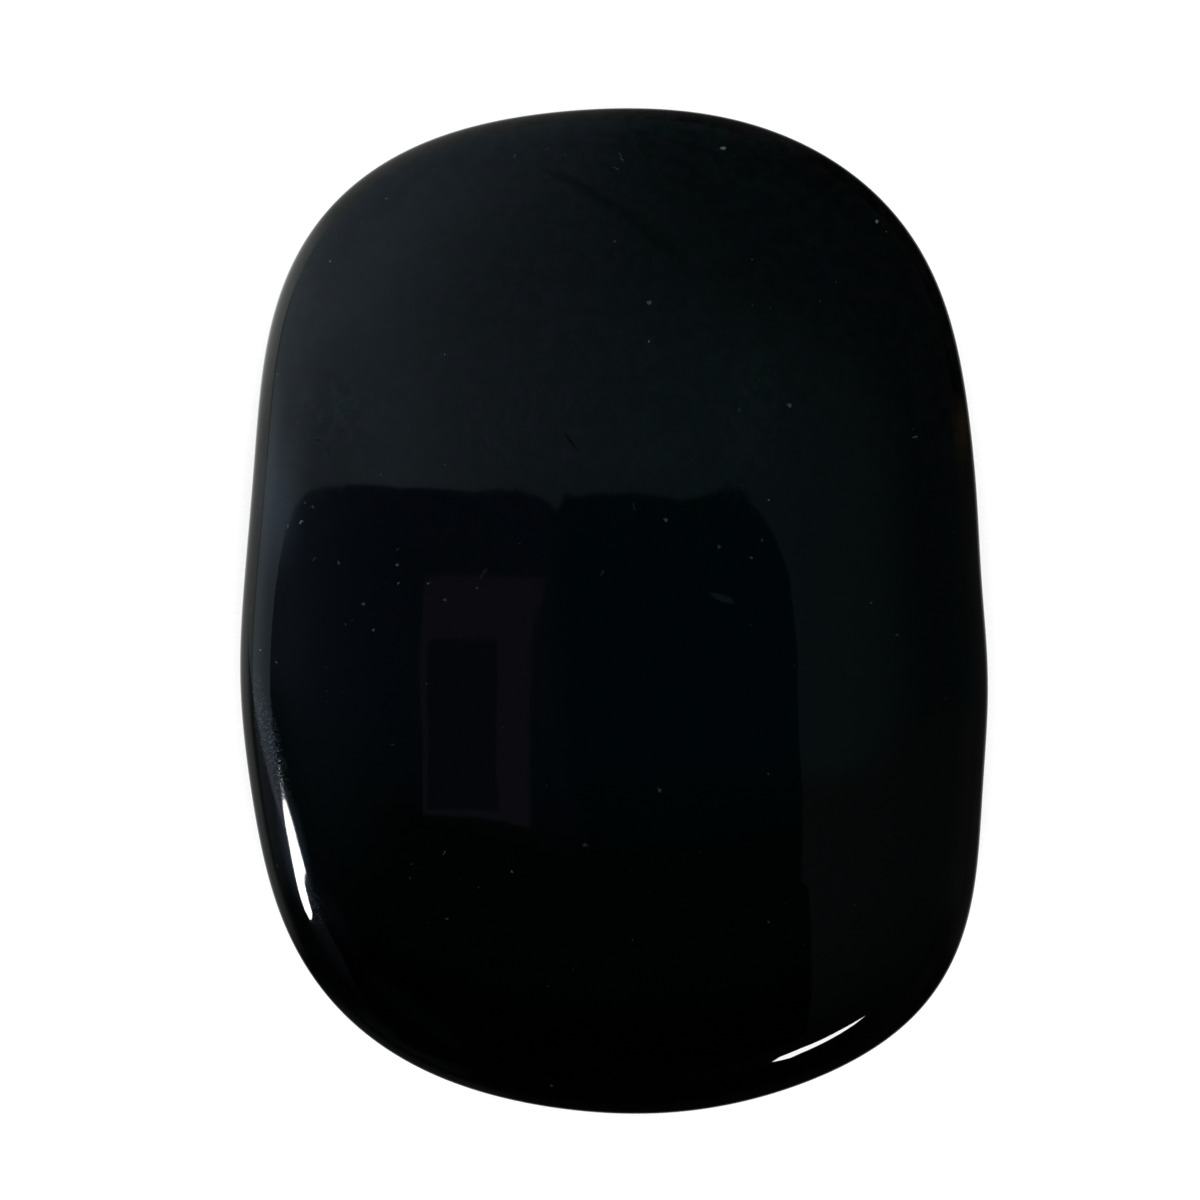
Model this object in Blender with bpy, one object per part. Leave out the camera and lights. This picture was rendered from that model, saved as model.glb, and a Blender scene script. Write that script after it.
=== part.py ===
"""A tumbled and polished obsidian palm stone, lying flat.

One solid: a flat pebble with a lopsided, rounded oblong outline, a gently domed face, a soft rim
and a worn flat on its underside, which it rests on.

Metres, +Z up. The origin is on the surface that the stone rests on, under the middle of its
outline. +Y runs along the stone, towards its blunt end.
"""

import bmesh
import bpy
import numpy as np

MM = 0.001

STONE_NAME = "palm_stone"
COLLECTION_NAME = "polished obsidian palm stone"

# Distance from the middle to the edge, every 15 degrees, anticlockwise from +X
OUTLINE_RADII = MM * np.array([
    22.1, 22.5, 24.4, 27.4, 29.6, 30.2, 30.0, 30.1, 29.9, 27.8, 24.5, 22.5,
    22.2, 23.0, 24.7, 27.4, 29.3, 29.8, 30.0, 30.3, 30.4, 28.9, 25.3, 23.1,
])

THICKNESS = 9.0 * MM
# Height of the stone's widest line over the surface it rests on
GIRTH_HEIGHT = 4.9 * MM
# How far the underside would bulge below the worn flat
WORN_DEPTH = 0.12 * MM

# Exponents of the two domes: 2 is a round dome, and more is flatter with a tighter rim
FACE_FLATNESS = 5.2
UNDERSIDE_FLATNESS = 5.0
# The rim rolls over more gently on one side: change of the exponents, and the bearing of it
RIM_SOFTENING = 0.9
SOFT_BEARING = np.radians(225.0)

# Cells of the net along the stone's width, length and rim
CELLS_ACROSS = 28
CELLS_ALONG = 36
CELLS_ROUND_RIM = 10
# Latitude on the rim, over and under the widest line, where the rim's cells end
RIM_LATITUDE = np.radians(48.0)

OBSIDIAN_COLOUR = (0.006, 0.007, 0.008, 1.0)
OBSIDIAN_ROUGHNESS = 0.05
OBSIDIAN_IOR = 1.5


def clear_scene():
    for old in list(bpy.data.objects):
        bpy.data.objects.remove(old, do_unlink=True)


def obsidian():
    """Black volcanic glass with a high polish."""
    material = bpy.data.materials.new("polished obsidian")
    material.use_nodes = True
    shader = material.node_tree.nodes["Principled BSDF"]
    shader.inputs["Base Color"].default_value = OBSIDIAN_COLOUR
    shader.inputs["Roughness"].default_value = OBSIDIAN_ROUGHNESS
    shader.inputs["Metallic"].default_value = 0.0
    shader.inputs["IOR"].default_value = OBSIDIAN_IOR
    return material


def outline_radius(bearing):
    """Distance from the middle to the edge: the Fourier series through OUTLINE_RADII."""
    count = len(OUTLINE_RADII)
    terms = np.fft.rfft(OUTLINE_RADII) / count
    terms[1:-1] *= 2.0
    waves = np.exp(1j * np.outer(bearing, np.arange(len(terms))))
    return (waves @ terms).real


def rim_exponent(flatness, bearing):
    """A dome's exponent, which is lower on the stone's soft side."""
    return flatness - RIM_SOFTENING * np.cos(bearing - SOFT_BEARING)


def stone_surface(net):
    """Carry the points of a cube's net, from -1 to 1 each way, onto the stone.

    A point's share of the way to the cube's side and its bearing become its place in the outline.
    Each dome follows share ** exponent + (height / rise) ** 2 = 1, and on the cube's sides the
    latitude, the angle whose sine is height / rise, runs evenly from one dome to the other.
    """
    half_width = outline_radius(np.array([0.0, np.pi])).mean()
    half_length = outline_radius(np.array([0.5, 1.5]) * np.pi).mean()
    bearing = np.arctan2(net[:, 1] * half_length, net[:, 0] * half_width)
    share = np.abs(net[:, :2]).max(axis=1)
    upper = net[:, 2] > 0.0
    exponent = rim_exponent(np.where(upper, FACE_FLATNESS, UNDERSIDE_FLATNESS), bearing)
    rise = np.where(upper, THICKNESS - GIRTH_HEIGHT, GIRTH_HEIGHT + WORN_DEPTH)

    on_rim = share > 1.0 - 1e-6
    rim_share = np.cos(RIM_LATITUDE) ** (2.0 / exponent)
    face_latitude = np.arccos(np.clip((share * rim_share) ** (exponent / 2.0), 0.0, 1.0))
    latitude = np.where(on_rim, np.abs(net[:, 2]) * RIM_LATITUDE, face_latitude)

    reach = outline_radius(bearing) * np.cos(latitude) ** (2.0 / exponent)
    height = GIRTH_HEIGHT + np.where(upper, 1.0, -1.0) * rise * np.sin(latitude)
    points = np.stack([
        reach * np.cos(bearing),
        reach * np.sin(bearing),
        np.maximum(height, 0.0),
    ], axis=1)
    points[:, :2] -= (points[:, :2].min(axis=0) + points[:, :2].max(axis=0)) / 2.0
    return points


def cut_cube():
    """A cube from -1 to 1 whose faces are cut into the net's cells."""
    net = bmesh.new()
    bmesh.ops.create_cube(net, size=2.0)
    for axis, cells in enumerate((CELLS_ACROSS, CELLS_ALONG, CELLS_ROUND_RIM)):
        along = [
            edge for edge in net.edges
            if abs(edge.verts[0].co[axis] - edge.verts[1].co[axis]) > 1.0
        ]
        bmesh.ops.subdivide_edges(net, edges=along, cuts=cells - 1, use_grid_fill=True)
    return net


def palm_stone(collection):
    """The whole stone: a cut cube, carried onto the stone's form."""
    net = cut_cube()
    corners = np.array([vertex.co[:] for vertex in net.verts])
    for vertex, point in zip(net.verts, stone_surface(corners)):
        vertex.co = point
    bmesh.ops.recalc_face_normals(net, faces=net.faces)
    mesh = bpy.data.meshes.new(STONE_NAME)
    net.to_mesh(mesh)
    net.free()
    mesh.shade_smooth()
    mesh.materials.append(obsidian())
    stone = bpy.data.objects.new(STONE_NAME, mesh)
    collection.objects.link(stone)
    return stone


def main():
    clear_scene()
    collection = bpy.data.collections.new(COLLECTION_NAME)
    bpy.context.scene.collection.children.link(collection)
    palm_stone(collection)


main()
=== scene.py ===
"""Looks of a polished obsidian palm stone on a plain pale floor, under soft studio light.

Laid out as an add-on and run as a script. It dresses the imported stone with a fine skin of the
same form, finished as black volcanic glass, and sets the floor, the light and the camera.
Metres, +Z up, +Y along the stone.
"""

import bpy
import numpy as np
from bpy.props import (
    FloatProperty,
    FloatVectorProperty,
    IntProperty,
    PointerProperty,
)
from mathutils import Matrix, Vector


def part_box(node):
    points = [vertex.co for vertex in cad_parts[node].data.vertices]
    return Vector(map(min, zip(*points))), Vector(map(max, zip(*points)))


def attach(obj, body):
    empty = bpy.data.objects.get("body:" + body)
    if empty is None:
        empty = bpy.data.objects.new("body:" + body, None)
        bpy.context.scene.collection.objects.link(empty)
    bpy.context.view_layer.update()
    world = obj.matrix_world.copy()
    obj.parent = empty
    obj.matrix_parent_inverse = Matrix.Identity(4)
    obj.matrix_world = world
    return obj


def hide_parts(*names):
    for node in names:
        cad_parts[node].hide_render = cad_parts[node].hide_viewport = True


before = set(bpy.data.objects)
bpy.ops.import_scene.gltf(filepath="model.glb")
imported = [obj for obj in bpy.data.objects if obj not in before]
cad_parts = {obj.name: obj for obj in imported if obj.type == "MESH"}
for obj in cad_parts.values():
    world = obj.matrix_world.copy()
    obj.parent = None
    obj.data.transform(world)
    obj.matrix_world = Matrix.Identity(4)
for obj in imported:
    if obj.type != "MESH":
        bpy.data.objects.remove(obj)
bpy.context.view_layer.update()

bl_info = {
    "name": "Polished obsidian palm stone",
    "version": (1, 0, 0),
    "blender": (4, 5, 0),
    "location": "View3D > Sidebar > Palm stone",
    "description": "Dresses the packed palm stone as black volcanic glass and lights it",
    "category": "Object",
}

MM = 0.001

CAD_NODE = "palm_stone"
CAD_BODY = "root"
STONE_LOW, STONE_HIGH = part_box(CAD_NODE)
THICKNESS = STONE_HIGH[2] - STONE_LOW[2]

# Distance from the middle to the edge, every 15 degrees, anticlockwise from +X
OUTLINE_RADII = MM * np.array([
    22.1, 22.5, 24.4, 27.4, 29.6, 30.2, 30.0, 30.1, 29.9, 27.8, 24.5, 22.5,
    22.2, 23.0, 24.7, 27.4, 29.3, 29.8, 30.0, 30.3, 30.4, 28.9, 25.3, 23.1,
])

# The photograph's frame is square, and these are its side and the stone's middle in it
PHOTO_PIXELS = 1200
STONE_MIDDLE_PX = (614.0, 611.0)
STONE_LENGTH_PX = 1005.0
SENSOR_WIDTH = 36.0
CAMERA_CLIP = (0.01, 10.0)

# Fineness of the working: samples of the outline, steps towards the face along a ray, and the
# distance over which its slope is taken
OUTLINE_SAMPLES = 1441
RAY_STEPS = 20
SLOPE_STEP = 0.001 * MM

# The ripples are so many plane waves, each turned on from the last by an angle in radians and
# lower by this power of its order
RIPPLE_WAVES = 5
RIPPLE_TURN = 2.4
RIPPLE_FALL = 1.5

# How far below the top a mark on the face may reach, so that none shows on the underside
MARK_DEPTH = 8.0 * MM

# Depth of the scratch, and how far the outlines of specks and chips wander
SCRATCH_DEPTH = 0.008 * MM
RAGGED_EDGE = 0.22 * MM

# Share of the way in from a mark's reach at which it is full
MARK_FULL = 0.6

# Noise patterns of the glass: repeats in a millimetre, detail, roughness and distortion
FILM_NOISE = (1.3, 3.0, 0.75)
TINT_NOISE = (0.9, 2.0, 0.6)
FEATHER_NOISE = (0.9, 3.0, 0.65, 1.6)
GRAIN_NOISE = (6.5, 2.0, 0.7)
RAGGED_NOISE = (6.0, 0.0)

# The feathers are combed: how far they are turned in degrees, and how they are stretched
FEATHER_TURN = 35.0
FEATHER_STRETCH = (1.0, 0.65, 0.65)

# Values of the patterns between which they take effect
FILM_SHOWS = (0.38, 0.64)
TINT_CHANGES = (0.42, 0.58)
FEATHERS_SHOW = (0.47, 0.64)
CREASES_FADE = (0.3, 0.5)
GRAIN_SHOWS = (0.48, 0.66)

# The film's painted sheen: its least share, the millimetres up the face between which it grows to full,
# and how it thins out to the right
FILM_LEAST = 0.15
FILM_GROWS = (2.0, 12.0)
FILM_THINS = (-4.0, 14.0, 1.0, 0.5)

# A least value and what a pattern adds to it: the film's painted sheen on the smears, dust in the
# bruises, and the mottling of the haze, with its painted glow, and of chips
SMEAR_FILM = (0.2, 2.4)
BRUISE_DUST = (0.08, 1.3)
MOTTLING = (0.4, 1.2)

# The bruises at the corner, as a share of the ridge's
CORNER_SHARE = 0.4

# Share of the cells that hold a speck, and how much more where they crowd. The dots are finer
# specks, with their spacing, radius and dust as shares of the specks'
SPECK_SHARE = (0.15, 0.25)
DOT_SHARE = (0.12, 0.16)
DOT_SPACING = 0.5
DOT_RADIUS = 0.45
DOT_DUST = 0.35

# A speck's smallest size as a share of the largest, the core of it that is full of dust, and the
# short step over which a cell's chance of a speck turns from none to full
SPECK_LEAST = 0.5
SPECK_CORE = 0.3
CHANCE_STEP = 0.001

# How much rougher pits and haze are than the polish
PIT_ROUGHNESS = 0.3
HAZE_ROUGHNESS = 0.06

GLASS_IOR = 1.5

# The larger chips and the clearest specks on the face: pixel across and down, half the width and
# height in millimetres, the turn to the left in degrees, and how much dust each holds
CHIPS = (
    (723, 148, 0.24, 0.15, 0.0, 0.55),
    (877, 221, 0.10, 0.16, 0.0, 0.60),
    (649, 303, 0.20, 0.16, 20.0, 0.35),
    (621, 157, 0.07, 0.50, 20.0, 0.14),
    (616, 168, 0.28, 0.08, -25.0, 0.12),
    (789, 405, 0.14, 0.14, 0.0, 0.35),
    (739, 410, 0.07, 0.18, 10.0, 0.22),
    (915, 437, 0.20, 0.09, 0.0, 0.45),
    (722, 598, 1.05, 0.26, -22.0, 0.05),
    (666, 520, 0.14, 0.14, 0.0, 0.30),
    (634, 506, 0.07, 0.34, 5.0, 0.07),
    (762, 540, 0.12, 0.12, 0.0, 0.20),
    (751, 558, 0.10, 0.12, 0.0, 0.30),
    (719, 547, 0.12, 0.12, 0.0, 0.20),
    (602, 573, 0.08, 0.30, -30.0, 0.07),
    (301, 522, 0.17, 0.09, 25.0, 0.60),
    (288, 526, 0.07, 0.20, -15.0, 0.17),
    (314, 559, 0.08, 0.20, -30.0, 0.18),
    (339, 563, 0.11, 0.11, 0.0, 0.26),
    (380, 475, 0.09, 0.09, 0.0, 0.40),
    (398, 549, 0.10, 0.15, -30.0, 0.14),
    (483, 574, 0.12, 0.60, -38.0, 0.05),
    (477, 588, 0.10, 0.10, 0.0, 0.30),
    (445, 600, 0.10, 0.10, 0.0, 0.26),
    (363, 604, 0.10, 0.12, -30.0, 0.30),
    (374, 630, 0.10, 0.09, 0.0, 0.30),
    (660, 790, 0.16, 0.14, 0.0, 0.25),
    (585, 845, 0.20, 0.14, 0.0, 0.12),
    (330, 261, 0.09, 0.08, 0.0, 0.40),
    (386, 198, 0.08, 0.08, 0.0, 0.22),
    (305, 503, 0.07, 0.07, 0.0, 0.30),
    (313, 507, 0.07, 0.06, 0.0, 0.30),
    (346, 625, 0.07, 0.08, 0.0, 0.30),
    (352, 621, 0.07, 0.06, 0.0, 0.26),
    (897, 635, 0.10, 0.09, 0.0, 0.16),
    (447, 919, 0.09, 0.09, 0.0, 0.20),
    (552, 1086, 0.09, 0.07, 0.0, 0.30),
)

# Other places on the face: pixel across and down, how far they reach across and along in
# millimetres, and how far they are turned to the left in degrees
SCRATCH = (572, 443, 0.09, 0.85, 36.0)
RIDGE = (268, 736, 1.0, 4.6, 13.0)
RIDGE_BRUISES = (269, 739, 0.95, 5.6, 13.0)
CORNER_BRUISES = (313, 904, 0.8, 2.2, 20.0)
CROWDED_SPECKS = (385, 580, 11.0, 13.0, 0.0)
# A painted glow where light comes through the thin right edge
AMBER_EDGE_GLOW = (962, 430, 0.8, 3.2, 0.0)

# Places of smears and of haze with its painted glow, each followed by its strength
SMEARS = (
    (333, 414, 5.0, 3.6, 15.0, 1.0),
    (525, 425, 5.5, 4.5, 0.0, 0.5),
    (757, 400, 3.8, 8.0, -8.0, 0.45),
)
HAZE_AND_GLOWS = (
    (278, 500, 1.9, 6.0, 0.0, 0.39),
    (294, 848, 1.0, 5.2, 12.0, 0.70),
    (318, 800, 6.0, 11.0, 0.0, 0.04),
    (330, 912, 1.0, 4.0, 35.0, 0.06),
    (416, 1013, 0.8, 6.0, 53.0, 0.03),
    (635, 455, 5.5, 2.4, 0.0, 0.03),
)

# Patches of light over the horizon: bearing in degrees, the cosines of the level angle to it
# between which the patch grows, the heights between which it fades out, and how much it adds
WALL_LIGHTS = (
    (181.0, 0.965, 1.0, 0.15, 0.5, 0.28),
    (89.0, 0.94, 0.995, 0.15, 0.6, 0.02),
    (38.0, 0.8, 0.93, 0.4, 0.7, -0.012),
)

# Faint patches in the dark part of the room, listed in the same way
DARK_SIDE_LIGHTS = (
    (240.0, 0.972, 0.993, 0.0, 0.6, 0.03),
    (330.0, 0.8, 0.99, 0.3, 0.6, 0.016),
)

# Patches at the foot of the walls, under the horizon: bearing, cosines and how much they add
FOOT_LIGHTS = (
    (350.0, 0.93, 0.98, 0.033),
    (240.0, 0.93, 0.99, 0.03),
    (80.0, 0.93, 0.99, 0.035),
    (140.0, 0.53, 0.98, 0.38),
    (178.0, 0.8, 0.96, 0.26),
    (155.0, 0.94, 0.99, 0.25),
)

# Glows of the dark screen: brightness, tint, and in metres where it grows leftwards, where it
# grows along Y and where it fades along Y. They are teal over the middle, green below that,
# violet to the left and pale blue at the far left
SCREEN_GLOWS = (
    (0.033, (0.06, 1.0, 1.28), None, (-0.085, -0.03), None),
    (0.018, (0.15, 1.0, 0.65), None, (-0.3, -0.1), (-0.085, -0.03)),
    (0.027, (0.85, 0.38, 1.0), (0.006, 0.013), (-0.1, -0.01), None),
    (0.076, (0.8, 1.0, 1.4), (0.05, 0.5), (-0.15, 0.0), None),
)

# Gap between the screen, the violet card under it and its inset
CARD_GAP = 1.0 * MM

# Outlines, in pixels of the photograph, of what the face mirrors: a dark screen overhead, a
# violet card under it and the bright faces of two lamps
SCREEN_TOP = (
    (309, 491), (320, 488), (340, 486.5), (400, 488), (450, 489.5), (500, 491), (520, 493), (540, 498),
    (550, 503), (556, 511), (560, 506), (563, 496), (568, 493), (574, 497), (600, 493), (640, 493),
    (660, 496), (680, 500), (700, 497), (720, 491), (735, 488), (750, 504), (765, 520), (775, 537),
    (783, 557),
)
SCREEN_RIGHT = (
    (790, 580), (794.5, 620), (798, 680), (800, 750), (801, 880), (808.5, 888), (811, 950), (811, 1000),
    (806, 1036),
)
SCREEN_LEFT = (
    (405, 1044), (342, 955), (306, 870), (289, 825), (278, 770), (273, 735), (270, 690), (271, 640),
    (275, 590), (279.5, 560), (285, 533), (296, 505),
)
VIOLET_CARD = (
    (425, 578), (546, 578), (543, 600), (534, 620), (531, 660), (530, 740), (530, 828), (505, 822),
    (480, 818), (423, 815),
)
VIOLET_INSET = (
    (428, 640), (497, 640), (499, 811), (427, 809),
)
WINDOW_LAMP = (
    (283.2, 799), (285.4, 800.5), (288.7, 809.6), (293.4, 825.6), (299.5, 848.7), (303.8, 864),
    (305.8, 872.9), (304.7, 875.3), (304.2, 882.7), (306.4, 892), (310.4, 907.5), (312.3, 914),
    (311.4, 919.5), (309.7, 919.5), (304.6, 909.6), (299, 892), (294.6, 873.5), (290, 848.7),
    (285.6, 826), (282.8, 807),
)
THIN_LAMP = (
    (772, 1062), (780, 1057), (790, 1053), (800, 1048.8), (820, 1040.5), (840, 1030.3), (855, 1022),
    (865, 1016), (855, 1024), (840, 1033.7), (820, 1044.5), (800, 1053.5), (790, 1058), (780, 1060.5),
)


class StoneForm(bpy.types.PropertyGroup):
    """The stone's form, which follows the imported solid."""

    girth_height: FloatProperty(
        name="Girth height", default=4.9 * MM, unit="LENGTH", subtype="DISTANCE",
        description="Height of the widest line over the surface that the stone rests on",
    )
    worn_depth: FloatProperty(
        name="Worn depth", default=0.12 * MM, unit="LENGTH", subtype="DISTANCE",
        description="How far the underside would bulge below its worn flat",
    )
    face_flatness: FloatProperty(
        name="Face flatness", default=5.2, min=2.0,
        description="Exponent of the upper dome: 2 is round, and more is flatter",
    )
    underside_flatness: FloatProperty(
        name="Underside flatness", default=5.0, min=2.0,
        description="Exponent of the lower dome",
    )
    rim_softening: FloatProperty(
        name="Rim softening", default=0.9, min=0.0,
        description="How much the exponents drop on the stone's soft side",
    )
    soft_bearing: FloatProperty(
        name="Soft bearing", default=np.radians(225.0), subtype="ANGLE",
        description="Bearing of the side where the rim rolls over most gently",
    )
    rim_latitude: FloatProperty(
        name="Rim latitude", default=np.radians(48.0), subtype="ANGLE",
        description="Latitude on the dome where the face's cells end and the rim's begin",
    )
    cells_across: IntProperty(
        name="Cells across", default=190, min=8, description="Cells of the net along the width",
    )
    cells_along: IntProperty(
        name="Cells along", default=236, min=8, description="Cells of the net along the length",
    )
    rim_share: FloatProperty(
        name="Rim share", default=0.74, min=0.1, max=0.95,
        description="Share of the net, from the middle out, that the face takes",
    )
    ripple_height: FloatProperty(
        name="Ripple height", default=0.0004 * MM, unit="LENGTH", subtype="DISTANCE",
        description="Height of the faint ripples that hand polishing leaves",
    )
    ripple_length: FloatProperty(
        name="Ripple length", default=9.0 * MM, unit="LENGTH", subtype="DISTANCE",
        description="Length of the longest ripples",
    )


class StoneFinish(bpy.types.PropertyGroup):
    """Colours and polish of the glass."""

    glass_colour: FloatVectorProperty(
        name="Glass", default=(0.0008, 0.0009, 0.0010), size=3, subtype="COLOR", min=0.0, max=1.0,
        description="Colour of the black volcanic glass",
    )
    # The film's two tints are painted sheen in the base colour
    violet_film_sheen: FloatVectorProperty(
        name="Violet film", default=(0.0105, 0.0055, 0.0115), size=3, subtype="COLOR", min=0.0, max=1.0,
        description="One tint of the faint film that handling leaves",
    )
    green_film_sheen: FloatVectorProperty(
        name="Green film", default=(0.0035, 0.0095, 0.0070), size=3, subtype="COLOR", min=0.0, max=1.0,
        description="The other tint of the film",
    )
    # Partly painted light: the worn haze is also a painted glow about the highlights on the left edge
    haze_and_glow_colour: FloatVectorProperty(
        name="Haze", default=(0.100, 0.121, 0.150), size=3, subtype="COLOR", min=0.0, max=1.0,
        description="Colour of the worn haze along the left edge",
    )
    dust_colour: FloatVectorProperty(
        name="Specks", default=(0.55, 0.60, 0.62), size=3, subtype="COLOR", min=0.0, max=1.0,
        description="Colour of the polishing dust in the pits",
    )
    amber_colour: FloatVectorProperty(
        name="Amber edge", default=(0.022, 0.014, 0.003), size=3, subtype="COLOR", min=0.0, max=1.0,
        description="Colour where light comes through the thin right edge",
    )
    polish_roughness: FloatProperty(
        name="Polish", default=0.022, min=0.0, max=1.0,
        description="Roughness of the cleanest polish",
    )
    smear_roughness: FloatProperty(
        name="Smears", default=0.08, min=0.0, max=1.0,
        description="How much rougher the smeared places are",
    )
    smear_depth: FloatProperty(
        name="Smear depth", default=0.014 * MM, unit="LENGTH", subtype="DISTANCE",
        description="Depth of the feathery smears",
    )
    speck_spacing: FloatProperty(
        name="Speck spacing", default=1.0 * MM, unit="LENGTH", subtype="DISTANCE",
        description="Size of the cells that hold one speck at most",
    )
    speck_radius: FloatProperty(
        name="Speck radius", default=0.11 * MM, unit="LENGTH", subtype="DISTANCE",
        description="Radius of the largest specks",
    )
    grit_depth: FloatProperty(
        name="Grit depth", default=0.0042 * MM, unit="LENGTH", subtype="DISTANCE",
        description="Depth of the fine bruising along the lower left ridge",
    )


class StageSettings(bpy.types.PropertyGroup):
    """Floor, light and camera."""

    lens: FloatProperty(
        name="Lens", default=100.0, min=10.0, subtype="DISTANCE_CAMERA", unit="CAMERA",
        description="Focal length of the camera, in millimetres",
    )
    floor_colour: FloatVectorProperty(
        name="Floor", default=(1.0, 1.0, 1.0), size=3, subtype="COLOR", min=0.0, max=1.0,
        description="Colour of the glowing floor",
    )
    floor_glow: FloatProperty(
        name="Floor glow", default=1.6, min=0.0, description="How bright the floor is",
    )
    floor_size: FloatProperty(
        name="Floor size", default=6.0, min=0.1, unit="LENGTH", subtype="DISTANCE",
        description="Side of the square floor",
    )
    screen_height: FloatProperty(
        name="Screen height", default=0.5, min=0.1, unit="LENGTH", subtype="DISTANCE",
        description="How high over the floor the dark screen hangs",
    )
    lamp_distance: FloatProperty(
        name="Lamp distance", default=0.6, min=0.1, unit="LENGTH", subtype="DISTANCE",
        description="How far from the stone the two lamps stand",
    )
    window_lamp_glow: FloatProperty(
        name="Window lamp", default=30.0, min=0.0, description="How bright the wide glint's lamp is",
    )
    thin_lamp_glow: FloatProperty(
        name="Thin lamp", default=22.0, min=0.0, description="How bright the thin glint's lamp is",
    )
    card_colour: FloatVectorProperty(
        name="Violet card", default=(0.080, 0.074, 0.110), size=3, subtype="COLOR", min=0.0, max=1.0,
        description="Glow of the card under the dark screen",
    )
    inset_colour: FloatVectorProperty(
        name="Card inset", default=(0.034, 0.040, 0.068), size=3, subtype="COLOR", min=0.0, max=1.0,
        description="Glow of the darker inset in the card",
    )
    contact_reach: FloatProperty(
        name="Contact shade", default=12.0 * MM, min=0.0, unit="LENGTH", subtype="DISTANCE",
        description="How near the stone the floor starts to darken",
    )


class Socket:
    """A socket that takes part in arithmetic: each operator adds a Math node."""

    def __init__(self, bench, link):
        self.bench = bench
        self.link = link

    def maths(self, operation, *values):
        return self.bench.node("ShaderNodeMath", {"operation": operation}, dict(enumerate(values)))

    def __add__(self, other):
        return self.maths("ADD", self, other)

    def __radd__(self, other):
        return self.maths("ADD", other, self)

    def __sub__(self, other):
        return self.maths("SUBTRACT", self, other)

    def __rsub__(self, other):
        return self.maths("SUBTRACT", other, self)

    def __mul__(self, other):
        return self.maths("MULTIPLY", self, other)

    def __rmul__(self, other):
        return self.maths("MULTIPLY", other, self)

    def __truediv__(self, other):
        return self.maths("DIVIDE", self, other)

    def __neg__(self):
        return self.maths("MULTIPLY", self, -1.0)

    def __abs__(self):
        return self.maths("ABSOLUTE", self)

    def root(self):
        return self.maths("SQRT", self)

    def at_least(self, other):
        return self.maths("MAXIMUM", self, other)

    def ramp(self, low, high, start, end):
        """start below low, end above high and a smooth step between them."""
        settings = {"interpolation_type": "SMOOTHSTEP"}
        inputs = {"Value": self, "From Min": low, "From Max": high, "To Min": start, "To Max": end}
        return self.bench.node("ShaderNodeMapRange", settings, inputs, "Result")

    def rising(self, low, high):
        return self.ramp(low, high, 0.0, 1.0)

    def falling(self, low, high):
        return self.ramp(low, high, 1.0, 0.0)


class Bench:
    """Puts nodes on the tree of a material or of the world."""

    def __init__(self, tree):
        self.tree = tree

    def node(self, kind, settings, inputs, output=0):
        """Add a node, set it up, then fill or link its sockets, and return one of its outputs."""
        made = self.tree.nodes.new(kind)
        for name, value in settings.items():
            setattr(made, name, value)
        for name, value in inputs.items():
            if isinstance(value, Socket):
                self.tree.links.new(value.link, made.inputs[name])
            else:
                made.inputs[name].default_value = value
        return Socket(self, made.outputs[output])

    def split(self, vector):
        """The three components of a vector."""
        x = self.node("ShaderNodeSeparateXYZ", {}, {"Vector": vector}, "X")
        return x, Socket(self, x.link.node.outputs["Y"]), Socket(self, x.link.node.outputs["Z"])

    def join(self, x, y, z):
        return self.node("ShaderNodeCombineXYZ", {}, {"X": x, "Y": y, "Z": z}, "Vector")

    def scaled(self, vector, factor):
        return self.node(
            "ShaderNodeVectorMath", {"operation": "SCALE"}, {0: vector, "Scale": factor}, "Vector",
        )

    def added(self, first, second):
        return self.node("ShaderNodeVectorMath", {"operation": "ADD"}, {0: first, 1: second}, "Vector")

    def noise(self, vector, scale, detail=2.0, roughness=0.5, distortion=0.0, output="Fac"):
        inputs = {
            "Vector": vector, "Scale": scale, "Detail": detail, "Roughness": roughness,
            "Distortion": distortion,
        }
        return self.node("ShaderNodeTexNoise", {}, inputs, output)

    def mixed(self, factor, first, second):
        """A blend of two colours."""
        settings = {"data_type": "RGBA", "clamp_factor": True}
        # The Mix node's colour sockets share their names with its number sockets
        return self.node("ShaderNodeMix", settings, {0: factor, 6: first, 7: second}, 2)

    def tinted(self, value, tint):
        """A number made a colour by a tint."""
        return self.scaled(tuple(tint), value)

    def total(self, colours):
        """The sum of several colours."""
        whole = colours[0]
        for colour in colours[1:]:
            whole = self.added(whole, colour)
        return whole

    def finish(self, kind, socket, value):
        """Link a value to a socket of the tree's node of a kind."""
        target = next(one for one in self.tree.nodes if one.bl_idname == kind)
        self.tree.links.new(value.link, target.inputs[socket])


def outline_radius(bearing):
    """Distance from the middle to the edge: the Fourier series through OUTLINE_RADII."""
    count = len(OUTLINE_RADII)
    terms = np.fft.rfft(OUTLINE_RADII) / count
    terms[1:-1] *= 2.0
    waves = np.exp(1j * np.outer(bearing.ravel(), np.arange(len(terms))))
    return (waves @ terms).real.reshape(bearing.shape)


def outline_middle():
    """Middle of the outline's box, on which the stone is centred."""
    bearing = np.linspace(0.0, 2.0 * np.pi, OUTLINE_SAMPLES)
    radius = outline_radius(bearing)
    outline = np.stack([radius * np.cos(bearing), radius * np.sin(bearing)])
    return (outline.min(axis=1) + outline.max(axis=1)) / 2.0


def dome_exponent(bearing, flatness, form):
    """The dome's exponent, which drops towards the soft side as the cosine of the bearing to it."""
    return flatness - form.rim_softening * np.cos(bearing - form.soft_bearing)


def ripples(x, y, form):
    """Faint ripples: a sum of plane waves at fixed headings, each shorter and lower than the last."""
    total = np.zeros_like(x)
    for order in range(1, RIPPLE_WAVES + 1):
        heading = order * RIPPLE_TURN
        turns = (x * np.cos(heading) + y * np.sin(heading)) / form.ripple_length * order
        total += np.sin(2.0 * np.pi * turns + order * order) / order ** RIPPLE_FALL
    return form.ripple_height * total


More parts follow.
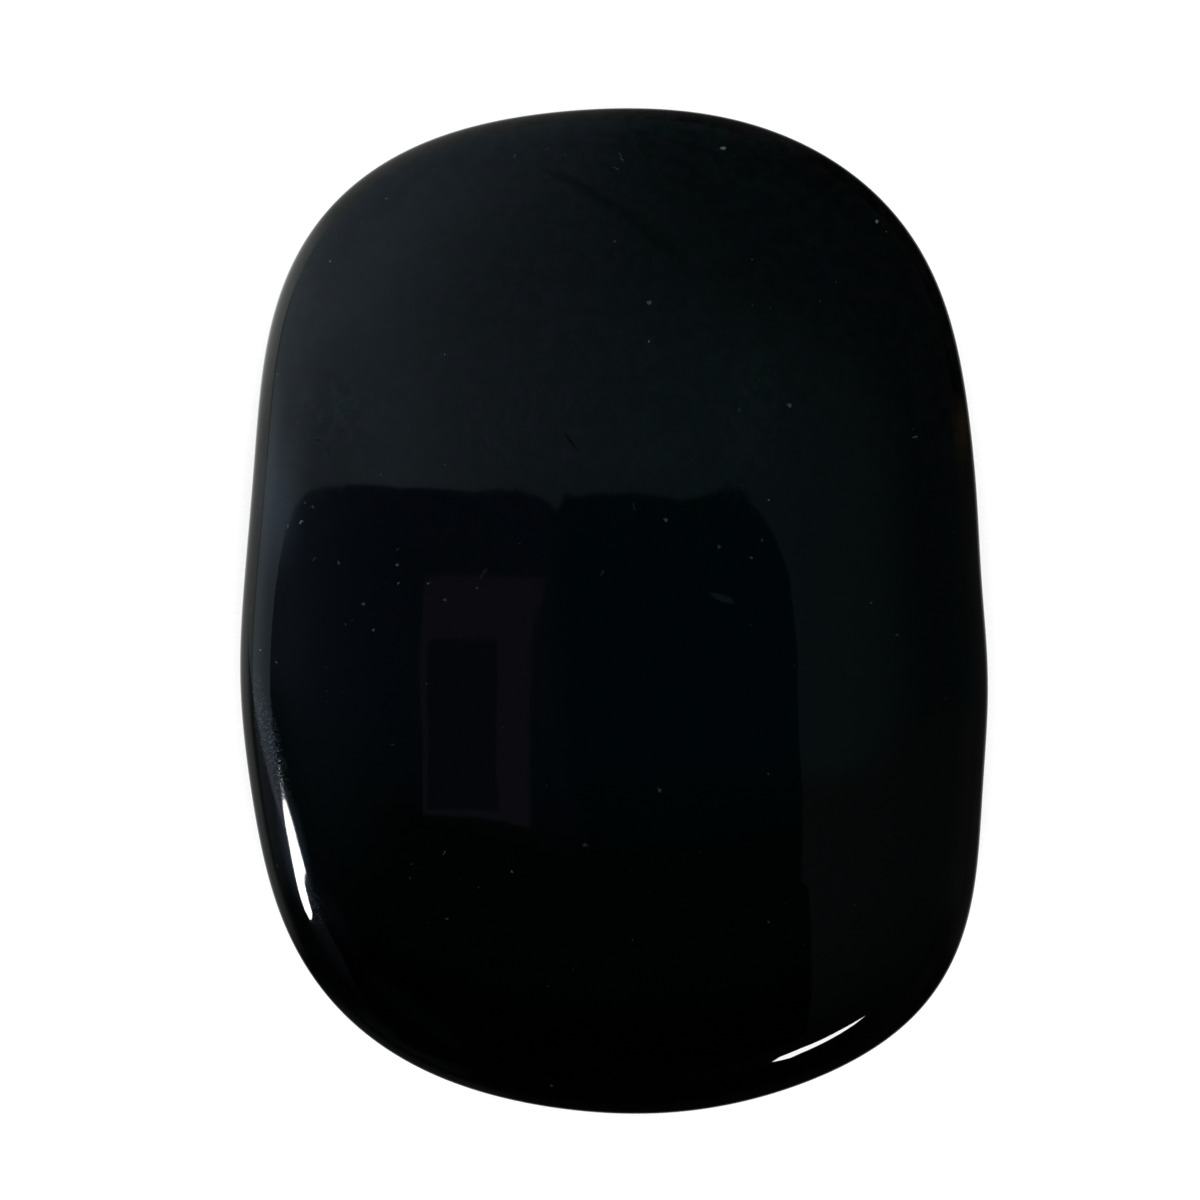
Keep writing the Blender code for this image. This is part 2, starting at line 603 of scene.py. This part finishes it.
def dome(across, along, form, side):
    """One dome of the stone over a net that runs from -1 to 1 across and along.

    A point's share of the way to the net's border and its bearing become its place in the
    outline. The dome follows share ** exponent + (height / rise) ** 2 = 1 in each section, where
    the exponent drops towards the soft side. Inside rim_share of the net the share grows evenly,
    and outside it the latitude, whose sine is height / rise, falls evenly to 0 at the girth.
    """
    width = outline_radius(np.array([0.0, np.pi])).mean()
    length = outline_radius(np.array([0.5, 1.5]) * np.pi).mean()
    bearing = np.arctan2(along * length, across * width)
    net_share = np.maximum(np.abs(across), np.abs(along))
    flatness = form.face_flatness if side > 0 else form.underside_flatness
    exponent = dome_exponent(bearing, flatness, form)
    if side > 0:
        rise = THICKNESS - form.girth_height
    else:
        rise = form.girth_height + form.worn_depth

    face_share = np.cos(form.rim_latitude) ** (2.0 / exponent)
    share = np.minimum(net_share / form.rim_share, 1.0) * face_share
    face_latitude = np.arccos(np.clip(share ** (exponent / 2.0), 0.0, 1.0))
    rim_latitude = form.rim_latitude * (1.0 - net_share) / (1.0 - form.rim_share)
    latitude = np.where(net_share < form.rim_share, face_latitude, rim_latitude)

    reach = outline_radius(bearing) * np.cos(latitude) ** (2.0 / exponent)
    x = reach * np.cos(bearing)
    y = reach * np.sin(bearing)
    z = form.girth_height + side * (rise + ripples(x, y, form)) * np.sin(latitude)
    middle = outline_middle()
    return np.stack([x - middle[0], y - middle[1], np.maximum(z, 0.0)], axis=-1)


def face_height(x, y, form):
    """Height of the upper dome over places on the floor, by the same formula as dome."""
    middle = outline_middle()
    x = x + middle[0]
    y = y + middle[1]
    bearing = np.arctan2(y, x)
    exponent = dome_exponent(bearing, form.face_flatness, form)
    share = np.hypot(x, y) / outline_radius(bearing)
    sine = np.sqrt(np.clip(1.0 - share ** exponent, 0.0, 1.0))
    return form.girth_height + (THICKNESS - form.girth_height + ripples(x, y, form)) * sine


def closed_net(upper, lower):
    """Vertices and faces of two nets of the same border, joined along it.

    The lower net's border points are left out and the upper net's are used in their place. The
    lower net's faces run the other way round, so that both face outwards.
    """
    rows, columns = upper.shape[:2]
    index = np.arange(rows * columns).reshape(rows, columns)
    under = np.full((rows, columns), -1)
    under[1:-1, 1:-1] = rows * columns + np.arange((rows - 2) * (columns - 2)).reshape(
        rows - 2, columns - 2)
    under = np.where(under < 0, index, under)
    points = np.concatenate([upper.reshape(-1, 3), lower[1:-1, 1:-1].reshape(-1, 3)])
    quads = [
        np.stack([net[:-1, :-1], net[:-1, 1:], net[1:, 1:], net[1:, :-1]], axis=-1).reshape(-1, 4)
        for net in (index, under)
    ]
    return points, np.concatenate([quads[0], quads[1][:, ::-1]])


def mesh_object(name, points, faces, material):
    """A smooth object at the origin from arrays of points and four-sided faces."""
    mesh = bpy.data.meshes.new(name)
    mesh.vertices.add(len(points))
    mesh.vertices.foreach_set("co", points.astype(np.float32).ravel())
    mesh.loops.add(faces.size)
    mesh.loops.foreach_set("vertex_index", faces.astype(np.int32).ravel())
    mesh.polygons.add(len(faces))
    mesh.polygons.foreach_set("loop_start", np.arange(0, faces.size, faces.shape[1], dtype=np.int32))
    mesh.update(calc_edges=True)
    mesh.validate()
    mesh.shade_smooth()
    mesh.materials.append(material)
    made = bpy.data.objects.new(name, mesh)
    bpy.context.scene.collection.objects.link(made)
    return made


def new_material(name):
    """A material with an empty Principled BSDF, and the bench to build on."""
    material = bpy.data.materials.new(name)
    material.use_nodes = True
    return material, Bench(material.node_tree)


def photo_place(px, py):
    """Where a pixel of the photograph lies on the stone, in metres from its middle."""
    scale = (STONE_HIGH[1] - STONE_LOW[1]) / STONE_LENGTH_PX
    return (px - STONE_MIDDLE_PX[0]) * scale, (STONE_MIDDLE_PX[1] - py) * scale


def camera_place(stage, form):
    """Straight over the middle of the photograph's frame, as far off as the lens needs."""
    middle = photo_place(PHOTO_PIXELS / 2.0, PHOTO_PIXELS / 2.0)
    half_frame = middle[0] - photo_place(0.0, 0.0)[0]
    distance = half_frame / (SENSOR_WIDTH / 2.0 / stage.lens)
    return np.array([middle[0], middle[1], form.girth_height + distance])


def face_points(pixels, stage, form):
    """Points of the face that show at pixels of the photograph, and the camera's rays to them.

    The ray to a pixel's place at the height of the girth meets the dome after a few steps, each
    to the dome's height at the last point.
    """
    px, py = np.array(pixels, dtype=float).T
    x, y = photo_place(px, py)
    camera = camera_place(stage, form)
    ray = np.stack([x, y, np.full_like(x, form.girth_height)], axis=-1) - camera
    ray /= np.linalg.norm(ray, axis=-1, keepdims=True)
    height = np.full_like(x, THICKNESS)
    for _ in range(RAY_STEPS):
        points = camera + ((height - camera[2]) / ray[:, 2])[:, None] * ray
        height = face_height(points[:, 0], points[:, 1], form)
    return points, ray


def mirrored(pixels, stage, form):
    """Points of the face at pixels of the photograph, and the directions that it mirrors there.

    The dome's slopes are the differences of its heights over a short step, and the camera's ray
    is turned back about the normal that they give.
    """
    points, ray = face_points(pixels, stage, form)
    step = SLOPE_STEP
    x, y = points[:, 0], points[:, 1]
    slope_x = (face_height(x + step, y, form) - face_height(x - step, y, form)) / (2.0 * step)
    slope_y = (face_height(x, y + step, form) - face_height(x, y - step, form)) / (2.0 * step)
    normal = np.stack([-slope_x, -slope_y, np.ones_like(x)], axis=-1)
    normal /= np.linalg.norm(normal, axis=-1, keepdims=True)
    return points, ray - 2.0 * (ray * normal).sum(axis=-1, keepdims=True) * normal


class FacePlan:
    """Places on the stone in millimetres, for marks that lie where the photograph shows them."""

    def __init__(self, bench, stage, form):
        self.bench = bench
        self.stage = stage
        self.form = form
        place = bench.node("ShaderNodeTexCoord", {}, {}, "Object")
        self.in_mm = bench.scaled(place, 1.0 / MM)
        self.x, self.y, _ = bench.split(self.in_mm)

    def near(self, px, py, reach_x, reach_y, turn=0.0, full=1.0, place=None):
        """1 at a pixel's place on the face and 0 at its reach in millimetres, on a turned ellipse."""
        points, _ = face_points([(px, py)], self.stage, self.form)
        x, y, _ = points[0] / MM
        inputs = {
            "Vector": place or self.in_mm, "Location": (x, y, THICKNESS / MM),
            "Rotation": (0.0, 0.0, np.radians(turn)), "Scale": (reach_x, reach_y, MARK_DEPTH / MM),
        }
        centred = self.bench.node("ShaderNodeMapping", {"vector_type": "TEXTURE"}, inputs, "Vector")
        settings = {"gradient_type": "SPHERICAL"}
        inwards = self.bench.node("ShaderNodeTexGradient", settings, {"Vector": centred}, "Fac")
        return inwards.rising(0.0, full)


def specks(bench, ragged, spacing, radius, share):
    """Pits on ragged coordinates: one in a share of a Voronoi pattern's cells, and its dust's shade.

    A pit shows where its cell's random point lies within its radius of the surface.
    """
    cells = bench.node(
        "ShaderNodeTexVoronoi", {"feature": "F1"}, {"Vector": ragged, "Scale": 1.0 / spacing},
        "Distance",
    )
    chance, size, shade = bench.split(Socket(bench, cells.link.node.outputs["Color"]))
    present = (share - chance).rising(0.0, CHANCE_STEP)
    reach = radius / spacing * (SPECK_LEAST + (1.0 - SPECK_LEAST) * size)
    return (cells / reach).falling(SPECK_CORE, 1.0) * present, shade


def obsidian(finish, stage, form):
    """Black volcanic glass: a high polish with film, haze, pits with dust and an amber edge. The film's
    tints, part of the haze and the amber edge are painted sheen, glow and light in the base colour.
    """
    material, bench = new_material("polished obsidian")
    shader = material.node_tree.nodes["Principled BSDF"]
    shader.inputs["IOR"].default_value = GLASS_IOR
    shader.inputs["Metallic"].default_value = 0.0
    plan = FacePlan(bench, stage, form)

    # Handling leaves a thin film on the upper half, painted in the base colour as a sheen of two tints
    grows = plan.y.rising(*FILM_GROWS) * plan.x.ramp(*FILM_THINS)
    upper = FILM_LEAST + (1.0 - FILM_LEAST) * grows
    film = bench.noise(plan.in_mm, *FILM_NOISE).rising(*FILM_SHOWS) * upper
    tint = bench.noise(plan.in_mm, *TINT_NOISE).rising(*TINT_CHANGES)

    # A few feathery smears and one scratch break up what the face mirrors, and the smears add more
    # painted sheen to the film
    handled = 0.0
    for *place, strength in SMEARS:
        handled = (strength * plan.near(*place)).at_least(handled)
    combed = bench.node("ShaderNodeMapping", {}, {
        "Vector": plan.in_mm, "Rotation": (0.0, 0.0, np.radians(FEATHER_TURN)),
        "Scale": FEATHER_STRETCH,
    }, "Vector")
    feathers = bench.noise(combed, *FEATHER_NOISE)
    creases = feathers.falling(*CREASES_FADE) * handled
    scratch = plan.near(*SCRATCH)
    smeared_sheen = (SMEAR_FILM[0] + SMEAR_FILM[1] * feathers.rising(*FEATHERS_SHOW)) * handled
    film = film * (1.0 - creases) + smeared_sheen

    # Worn haze and fine bruises with dust follow the left edge, strongest on the lower left ridge; the
    # haze is partly a painted glow about the highlights there, brightest over the wide glint
    grain = bench.noise(plan.in_mm, *GRAIN_NOISE)
    mottled = MOTTLING[0] + MOTTLING[1] * grain
    ridge = plan.near(*RIDGE, full=MARK_FULL)
    bruised = plan.near(*RIDGE_BRUISES).at_least(CORNER_SHARE * plan.near(*CORNER_BRUISES))
    dust_haze_and_glow = (BRUISE_DUST[0] + BRUISE_DUST[1] * grain.rising(*GRAIN_SHOWS)) * bruised
    for *place, strength in HAZE_AND_GLOWS:
        dust_haze_and_glow = dust_haze_and_glow + strength * plan.near(*place) * mottled

    # Specks lie thicker on the left middle of the face
    crowded = plan.near(*CROWDED_SPECKS)
    shift = bench.noise(plan.in_mm, *RAGGED_NOISE, output="Color")
    wander = RAGGED_EDGE / MM
    ragged = bench.total([plan.in_mm, bench.scaled(shift, wander), (-0.5 * wander,) * 3])
    spacing, radius = finish.speck_spacing / MM, finish.speck_radius / MM
    share = SPECK_SHARE[0] + SPECK_SHARE[1] * crowded
    pits, shade = specks(bench, ragged, spacing, radius, share)
    share = DOT_SHARE[0] + DOT_SHARE[1] * crowded
    dots, dot_shade = specks(bench, ragged, DOT_SPACING * spacing, DOT_RADIUS * radius, share)
    chips = 0.0
    for px, py, reach_x, reach_y, turn, strength in CHIPS:
        chips = strength * plan.near(px, py, reach_x, reach_y, turn, MARK_FULL, ragged) + chips
    dust = (pits * shade * shade * shade).at_least(DOT_DUST * dots * dot_shade)
    dust = dust.at_least(chips * mottled)

    film_sheen_tint = bench.mixed(tint, (*finish.violet_film_sheen, 1.0), (*finish.green_film_sheen, 1.0))
    base = bench.total([
        tuple(finish.glass_colour),
        bench.scaled(film_sheen_tint, film),
        bench.tinted(dust_haze_and_glow, finish.haze_and_glow_colour),
        bench.tinted(dust, finish.dust_colour),
        # Painted light: a patch of amber base colour stands in for light coming through the thin right
        # edge
        bench.tinted(plan.near(*AMBER_EDGE_GLOW), finish.amber_colour),
    ])
    bench.finish("ShaderNodeBsdfPrincipled", "Base Color", base)

    roughness = finish.polish_roughness + finish.smear_roughness * creases
    roughness = roughness + PIT_ROUGHNESS * pits.at_least(chips) + HAZE_ROUGHNESS * dust_haze_and_glow
    bench.finish("ShaderNodeBsdfPrincipled", "Roughness", roughness)

    height = finish.grit_depth * (grain - 0.5) * ridge
    height = height + finish.smear_depth * feathers * handled - SCRATCH_DEPTH * scratch
    bump = bench.node(
        "ShaderNodeBump", {}, {"Height": height, "Strength": 1.0, "Distance": 1.0}, "Normal",
    )
    bench.finish("ShaderNodeBsdfPrincipled", "Normal", bump)
    return material


def glow_material(name, colour, strength):
    """A card that only glows."""
    material, bench = new_material(name)
    glow = bench.node("ShaderNodeEmission", {}, {"Color": (*colour, 1.0), "Strength": strength})
    bench.finish("ShaderNodeOutputMaterial", "Surface", glow)
    return material


def floor_material(stage):
    """A glowing white floor with a painted contact shadow: its glow is dimmed by ambient occlusion
    where the stone stands close over it.
    """
    material, bench = new_material("pale floor")
    open_sky = bench.node(
        "ShaderNodeAmbientOcclusion", {"samples": 4}, {"Distance": stage.contact_reach}, "AO",
    )
    colour = bench.tinted(open_sky, stage.floor_colour)
    inputs = {"Color": colour, "Strength": stage.floor_glow}
    glow = bench.node("ShaderNodeEmission", {}, inputs, "Emission")
    bench.finish("ShaderNodeOutputMaterial", "Surface", glow)
    material.cycles.emission_sampling = "NONE"
    return material


def rectangle(width, height):
    """Corner points of a rectangle about the origin, as a net of one cell."""
    across = np.array([-0.5, 0.5, 0.5, -0.5]) * width
    along = np.array([-0.5, -0.5, 0.5, 0.5]) * height
    return np.stack([across, along, np.zeros(4)], axis=-1)


def sky_direction(azimuth, elevation):
    """Unit vector from the stone towards a part of the room, from its bearing and its height."""
    level = np.cos(np.radians(elevation))
    return np.array([
        level * np.cos(np.radians(azimuth)),
        level * np.sin(np.radians(azimuth)),
        np.sin(np.radians(elevation)),
    ])


def reflected_card(name, points, material):
    """A flat card through its corners that shows in reflections alone and lights no floor."""
    card = mesh_object(name, points, np.arange(len(points))[None, :], material)
    card.visible_camera = False
    card.visible_diffuse = False
    card.visible_shadow = False
    return card


def ceiling_points(pixels, height, stage, form):
    """Where the face mirrors a ceiling of a height, at pixels of the photograph."""
    points, directions = mirrored(pixels, stage, form)
    return points + ((height - points[:, 2]) / directions[:, 2])[:, None] * directions


def lamp_card(name, pixels, strength, stage, form):
    """A lamp's bright face, as large as its glint at pixels of the photograph."""
    points, directions = mirrored(pixels, stage, form)
    points = points + stage.lamp_distance * directions
    return reflected_card(name, points, glow_material(name, (1.0, 1.0, 1.0), strength))


class RoomLight:
    """Brightness and tint of the room that the stone mirrors, by the unit vector towards it.

    In the values, a pair gives where a light starts and ends its growth or its fall, along x, y or
    z, or in the cosine of the level angle to a bearing. A four adds what it has at both ends.
    """

    # Least level reach, so that nothing is divided by 0
    LEAST_LEVEL = 1e-6

    # The horizon, and the dark skirting of one wall along it
    HORIZON = (-0.03, 0.05)
    SKIRTING_HEIGHT = 0.025
    SKIRTING_FADES = (0.0, 0.05)
    SKIRTING_BEARING = 172.0
    SKIRTING_FACING = (0.93, 0.98)
    SKIRTING_DIM = 0.5

    # The wall by the window ends at a slanting jamb, which is the plane through the stone with
    # this normal, and past it the room is dark
    JAMB_NORMAL = (-0.054, 0.939, 0.340)
    JAMB_ACROSS = (-0.006, 0.012)
    JAMB_SIDE = (0.0, 0.2)
    JAMB_DIM = 0.74
    JAMB_DIM_BELOW = 0.8
    JAMB_BELOW_FADES = (-0.3, -0.05)

    # The jamb's bright edge
    EDGE_LIGHT = 0.45
    EDGE_ACROSS = (0.002, 0.022)
    EDGE_SIDE = (0.78, 0.84)
    EDGE_RISES = (0.02, 0.1)
    EDGE_TINT = (1.0, 0.9, 1.15)

    # Light over the horizon: at +X, its step up over the middle, its growth towards the window,
    # and what it loses far to the right
    DIM_SIDE = 0.055
    WINDOW_STEP = (-0.15, 0.38, 0.0, 0.215)
    WINDOW_GROWTH = 0.34
    RIGHT_LOSS = (0.1, 0.6, 0.0, 0.017)

    # Where that light is dimmer: towards -Y on the window's side, on a wall panel, and on a
    # smaller place on the left
    NEAR_DIM = 0.3
    NEAR_Y = (0.02, 0.28)
    NEAR_X = (0.1, 0.3)
    PANEL_DIM = 0.17
    PANEL_BEARING = 124.0
    PANEL_FACING = (0.86, 0.97)
    PANEL_FADES = (0.5, 0.85)
    LEFT_DIM = 0.22
    LEFT_Y = (0.08, 0.3)
    LEFT_X_STARTS = (0.25, 0.45)
    LEFT_X_ENDS = (0.55, 0.75)

    # A brighter strip of ceiling beside the screen
    STRIP_LIGHT = 0.036
    STRIP_Y_STARTS = (-0.085, -0.06)
    STRIP_Y_ENDS = (0.05, 0.25)
    STRIP_X_ENDS = (0.12, 0.6)

    # A dark beam: its ends by bearing and height over the horizon in degrees, how far it lies off
    # the plane through them and the stone, its shade across, and where it starts and ends
    BEAM_ENDS = ((95.4, 56.1), (78.1, 76.0))
    BEAM_OFFSET = 0.008
    BEAM_SHADE = (0.002, 0.014, 0.28, 0.0)
    BEAM_Y_STARTS = (0.19, 0.26)
    BEAM_Y_ENDS = (0.52, 0.7)

    # How the light over the horizon falls off towards -Y, most of all low down
    DARK_END = (-0.95, -0.18)
    LOW_END_DIM = 0.9
    LOW_END_FADES = (0.35, 0.6)
    LOW_END_Y = (-0.42, -0.25)

    # Under the horizon: the least light, and the floor far down
    LEAST_BELOW = 0.006
    FLOOR_LIGHT = 0.35
    FLOOR_FADES = (-1.0, -0.65)
    BELOW_TINT = (0.98, 1.01, 0.99)

    # Red and blue as shares of green, over the horizon
    RED = 0.54
    RED_WINDOW_STEP = (-0.05, 0.05, 0.0, 0.2)
    RED_WINDOW_GROWTH = (0.1, 0.9, 0.0, 0.08)
    RED_DARK_END = (-0.085, -0.06, 0.3, 0.0)
    RED_DARK_END_X = (0.0, 0.1)
    RED_LOW = (0.05, 0.35, 0.3, 0.0)
    RED_LOW_X = (0.1, 0.5)
    BLUE = (-0.05, 0.06, 1.2, 1.04)
    BLUE_LOSS = (0.05, 0.4, 0.12, 0.0)

    def __init__(self, bench):
        self.bench = bench
        self.x, self.y, self.z = bench.split(bench.node("ShaderNodeTexCoord", {}, {}, "Generated"))
        self.level = (self.x * self.x + self.y * self.y).at_least(self.LEAST_LEVEL).root()
        self.over = self.z.rising(*self.HORIZON)
        jamb = self.along(self.JAMB_NORMAL)
        self.past_jamb = jamb.falling(*self.JAMB_ACROSS) * (-self.x).rising(*self.JAMB_SIDE)
        self.jamb_edge = abs(jamb).falling(*self.EDGE_ACROSS) * (-self.x).rising(*self.EDGE_SIDE)

    def along(self, normal):
        """How far the unit vector reaches along a normal."""
        return self.x * normal[0] + self.y * normal[1] + self.z * normal[2]

    def facing(self, azimuth):
        """Cosine of the level angle to a bearing."""
        ahead = sky_direction(azimuth, 0.0)
        return (self.x * ahead[0] + self.y * ahead[1]) / self.level

    def patches(self, lights):
        """The sum of patches of light, each about its bearing and fading out upwards."""
        total = 0.0
        for azimuth, low, high, bottom, top, strength in lights:
            patch = self.facing(azimuth).rising(low, high) * self.z.falling(bottom, top)
            total = strength * patch + total
        return total

    def window_side(self):
        """Light over the horizon, which grows towards the window at -X, with its uneven places."""
        x, y, z = self.x, self.y, self.z
        light = self.DIM_SIDE + (-x).ramp(*self.WINDOW_STEP)
        light = light + self.WINDOW_GROWTH * (-x).at_least(0.0)
        near = y.falling(*self.NEAR_Y) * (-x).rising(*self.NEAR_X)
        panel = self.facing(self.PANEL_BEARING).rising(*self.PANEL_FACING)
        panel = panel * z.falling(*self.PANEL_FADES)
        left = y.falling(*self.LEFT_Y) * (-x).rising(*self.LEFT_X_STARTS)
        left = left * (-x).falling(*self.LEFT_X_ENDS)
        light = light * (1.0 - self.NEAR_DIM * near)
        light = light * (1.0 - self.PANEL_DIM * panel)
        light = light * (1.0 - self.LEFT_DIM * left)
        strip = y.rising(*self.STRIP_Y_STARTS) * y.falling(*self.STRIP_Y_ENDS)
        strip = strip * x.falling(*self.STRIP_X_ENDS)
        light = light - x.ramp(*self.RIGHT_LOSS) + self.STRIP_LIGHT * strip
        return light + self.patches(WALL_LIGHTS)

    def off_beam(self):
        """1, and less on the thin dark beam that crosses the ceiling."""
        first, last = (sky_direction(*end) for end in self.BEAM_ENDS)
        normal = np.cross(first, last)
        normal /= np.linalg.norm(normal)
        away = abs(self.along(normal) + self.BEAM_OFFSET)
        ends = self.y.rising(*self.BEAM_Y_STARTS) * self.y.falling(*self.BEAM_Y_ENDS)
        return 1.0 - away.ramp(*self.BEAM_SHADE) * ends

    def above(self):
        """Light over the horizon, dark towards -Y and most of all low down there."""
        light = self.window_side() * self.off_beam()
        light = light * (1.0 - self.JAMB_DIM * self.past_jamb) * self.y.rising(*self.DARK_END)
        low_end = self.z.falling(*self.LOW_END_FADES) * self.y.falling(*self.LOW_END_Y)
        return light * (1.0 - self.LOW_END_DIM * low_end) + self.patches(DARK_SIDE_LIGHTS)

    def below(self):
        """Light under the horizon: the foot of the walls, and the floor far down."""
        light = self.LEAST_BELOW + self.FLOOR_LIGHT * self.z.falling(*self.FLOOR_FADES)
        for azimuth, low, high, strength in FOOT_LIGHTS:
            light = light + strength * self.facing(azimuth).rising(low, high)
        past = self.past_jamb * self.z.rising(*self.JAMB_BELOW_FADES)
        return light * (1.0 - self.JAMB_DIM_BELOW * past)

    def skirting(self):
        """1, and less on the dark skirting of one wall."""
        band = abs(self.z - self.SKIRTING_HEIGHT).falling(*self.SKIRTING_FADES)
        wall = self.facing(self.SKIRTING_BEARING).rising(*self.SKIRTING_FACING)
        return 1.0 - self.SKIRTING_DIM * band * wall

    def colour(self):
        """Both parts of the room with their tints, and the jamb's bright edge."""
        x, y, z = self.x, self.y, self.z
        skirting = self.skirting()
        wall = self.above() * self.over * skirting
        foot = self.below() * (1.0 - self.over) * skirting
        edge = self.EDGE_LIGHT * self.jamb_edge * z.rising(*self.EDGE_RISES)
        red = self.RED + (-x).ramp(*self.RED_WINDOW_STEP) + (-x).ramp(*self.RED_WINDOW_GROWTH)
        red = red + y.ramp(*self.RED_DARK_END) * x.rising(*self.RED_DARK_END_X)
        red = red + z.ramp(*self.RED_LOW) * x.rising(*self.RED_LOW_X)
        blue = x.ramp(*self.BLUE) - z.ramp(*self.BLUE_LOSS)
        return self.bench.total([
            self.bench.join(wall * red, wall, wall * blue),
            self.bench.tinted(foot, self.BELOW_TINT),
            self.bench.tinted(edge, self.EDGE_TINT),
        ])


class PALMSTONE_OT_stone(bpy.types.Operator):
    """Make the stone's fine skin and its finish"""

    bl_idname = "palmstone.stone"
    bl_label = "Make the polished stone"

    def execute(self, context):
        form = context.scene.palmstone_form
        stage = context.scene.palmstone_stage
        across, along = np.meshgrid(
            np.linspace(-1.0, 1.0, form.cells_across + 1),
            np.linspace(-1.0, 1.0, form.cells_along + 1),
        )
        upper = dome(across, along, form, 1.0)
        lower = dome(across, along, form, -1.0)
        points, faces = closed_net(upper, lower)
        glass = obsidian(context.scene.palmstone_finish, stage, form)
        stone = mesh_object("polished_stone", points, faces, glass)
        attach(stone, CAD_BODY)
        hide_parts(CAD_NODE)
        return {"FINISHED"}


class PALMSTONE_OT_stage(bpy.types.Operator):
    """Set the floor, the room's soft light, the cards and the camera"""

    bl_idname = "palmstone.stage"
    bl_label = "Set the stage"

    def execute(self, context):
        stage = context.scene.palmstone_stage
        form = context.scene.palmstone_form
        self.floor(stage)
        self.room(context)
        self.dark_screen(stage, form)
        self.violet_card(stage, form)
        lamp_card("window_lamp", WINDOW_LAMP, stage.window_lamp_glow, stage, form)
        lamp_card("thin_lamp", THIN_LAMP, stage.thin_lamp_glow, stage, form)
        self.camera(context, stage, form)
        context.scene.view_settings.view_transform = "Standard"
        return {"FINISHED"}

    def floor(self, stage):
        """A wide floor that glows, which the stone doesn't mirror."""
        points = rectangle(stage.floor_size, stage.floor_size)
        floor = mesh_object("floor", points, np.array([[0, 1, 2, 3]]), floor_material(stage))
        floor.visible_glossy = False

    def room(self, context):
        """The room's soft light: a bright window side at -X, dim at +X and dark towards -Y."""
        world = bpy.data.worlds.new("soft room")
        world.use_nodes = True
        world.cycles.sampling_method = "NONE"
        context.scene.world = world
        bench = Bench(world.node_tree)

        # The camera itself sees a plain pale backdrop
        seen = bench.node("ShaderNodeLightPath", {}, {}, "Is Camera Ray")
        room = bench.mixed(seen, RoomLight(bench).colour(), (1.0, 1.0, 1.0, 1.0))
        bench.finish("ShaderNodeBackground", "Color", room)

    def dark_screen(self, stage, form):
        """A dark screen overhead: teal over the middle, violet to the left and black towards -Y."""
        material, bench = new_material("dark screen")
        x, y, _ = bench.split(bench.node("ShaderNodeTexCoord", {}, {}, "Object"))
        glows = []
        for strength, tint, leftwards, grows, fades in SCREEN_GLOWS:
            glow = strength * y.rising(*grows)
            if leftwards:
                glow = glow * (-x).rising(*leftwards)
            if fades:
                glow = glow * y.falling(*fades)
            glows.append(bench.tinted(glow, tint))
        inputs = {"Color": bench.total(glows), "Strength": 1.0}
        emission = bench.node("ShaderNodeEmission", {}, inputs)
        bench.finish("ShaderNodeOutputMaterial", "Surface", emission)
        outline = SCREEN_TOP + SCREEN_RIGHT + SCREEN_LEFT
        points = ceiling_points(outline, stage.screen_height, stage, form)
        reflected_card("dark_screen", points, material)

    def violet_card(self, stage, form):
        """A dim violet card just under the screen, with a darker inset."""
        cards = (
            ("violet_card", "violet card", VIOLET_CARD, stage.card_colour),
            ("violet_inset", "violet inset", VIOLET_INSET, stage.inset_colour),
        )
        for order, (name, finish, outline, colour) in enumerate(cards, start=1):
            height = stage.screen_height - order * CARD_GAP
            points = ceiling_points(outline, height, stage, form)
            reflected_card(name, points, glow_material(finish, colour, 1.0))

    def camera(self, context, stage, form):
        """Straight down on the stone, framed as the photograph is."""
        data = bpy.data.cameras.new("camera")
        data.lens = stage.lens
        data.sensor_width = SENSOR_WIDTH
        data.clip_start, data.clip_end = CAMERA_CLIP
        camera = bpy.data.objects.new("camera", data)
        camera.location = camera_place(stage, form)
        context.scene.collection.objects.link(camera)
        context.scene.camera = camera


class PALMSTONE_PT_panel(bpy.types.Panel):
    """The stone's and the stage's settings"""

    bl_idname = "PALMSTONE_PT_panel"
    bl_label = "Palm stone"
    bl_space_type = "VIEW_3D"
    bl_region_type = "UI"
    bl_category = "Palm stone"

    def draw(self, context):
        groups = (
            (context.scene.palmstone_form, "palmstone.stone"),
            (context.scene.palmstone_finish, "palmstone.stone"),
            (context.scene.palmstone_stage, "palmstone.stage"),
        )
        for group, operator in groups:
            box = self.layout.box()
            for name in group.bl_rna.properties.keys():
                if name not in ("rna_type", "name"):
                    box.prop(group, name)
            box.operator(operator)


CLASSES = (
    StoneForm,
    StoneFinish,
    StageSettings,
    PALMSTONE_OT_stone,
    PALMSTONE_OT_stage,
    PALMSTONE_PT_panel,
)


def register():
    for one in CLASSES:
        bpy.utils.register_class(one)
    bpy.types.Scene.palmstone_form = PointerProperty(type=StoneForm)
    bpy.types.Scene.palmstone_finish = PointerProperty(type=StoneFinish)
    bpy.types.Scene.palmstone_stage = PointerProperty(type=StageSettings)


def unregister():
    del bpy.types.Scene.palmstone_stage
    del bpy.types.Scene.palmstone_finish
    del bpy.types.Scene.palmstone_form
    for one in reversed(CLASSES):
        bpy.utils.unregister_class(one)


def main():
    register()
    bpy.ops.palmstone.stone()
    bpy.ops.palmstone.stage()


if __name__ == "__main__":
    main()
